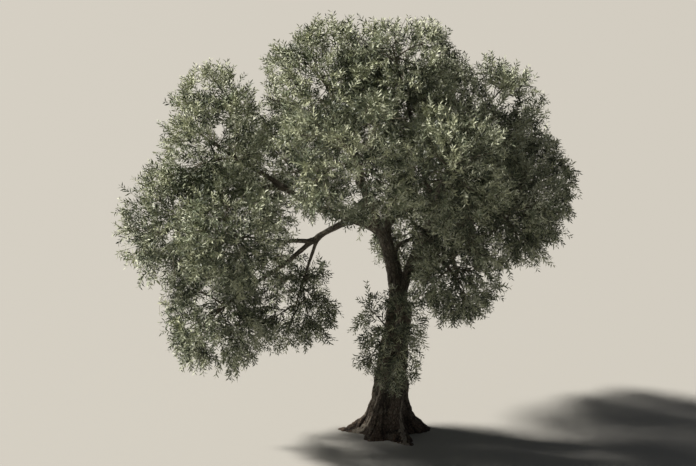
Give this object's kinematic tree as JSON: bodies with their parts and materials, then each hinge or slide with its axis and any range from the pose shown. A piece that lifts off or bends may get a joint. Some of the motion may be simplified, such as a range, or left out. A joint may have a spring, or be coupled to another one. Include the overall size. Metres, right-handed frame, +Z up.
{
  "type": "olive tree",
  "caption": "Mature olive tree with a ribbed, flared trunk, a low fork of sinuous boughs and a broad, silvery crown that hangs low on one side.",
  "frame": {"origin": "middle of the flat cut at ground level under the trunk", "axes": "+Z up the trunk, +X to the right as the picture shows the tree, +Y away from the viewer"},
  "size_m": [7.1286, 4.9359, 6.6794],
  "materials": {
    "bark": "rough, fissured grey-brown olive bark",
    "foliage": "leathery evergreen leaves, sage green above and silver below"
  },
  "bodies": {
    "root": {"bough_back_hanging": "bark", "bough_back_left": "bark", "bough_back_right": "bark", "bough_crown_top": "bark", "bough_front": "bark", "bough_front_right": "bark", "bough_left_dome": "bark", "bough_left_hanging": "bark", "bough_left_outer": "bark", "bough_left_side": "bark", "bough_left_skirt": "bark", "bough_right_front": "bark", "bough_right_hanging": "bark", "bough_right_outer": "bark", "bough_upper_back": "bark", "bough_upper_left": "bark", "bough_upper_right": "bark", "foliage_back_hanging": "foliage", "foliage_back_left": "foliage", "foliage_back_right": "foliage", "foliage_crown_top": "foliage", "foliage_front": "foliage", "foliage_front_right": "foliage", "foliage_left_dome": "foliage", "foliage_left_hanging": "foliage", "foliage_left_outer": "foliage", "foliage_left_side": "foliage", "foliage_left_skirt": "foliage", "foliage_right_front": "foliage", "foliage_right_hanging": "foliage", "foliage_right_outer": "foliage", "foliage_trunk_shoots": "foliage", "foliage_upper_back": "foliage", "foliage_upper_left": "foliage", "foliage_upper_right": "foliage", "trunk": "bark"}
  },
  "joints": []
}
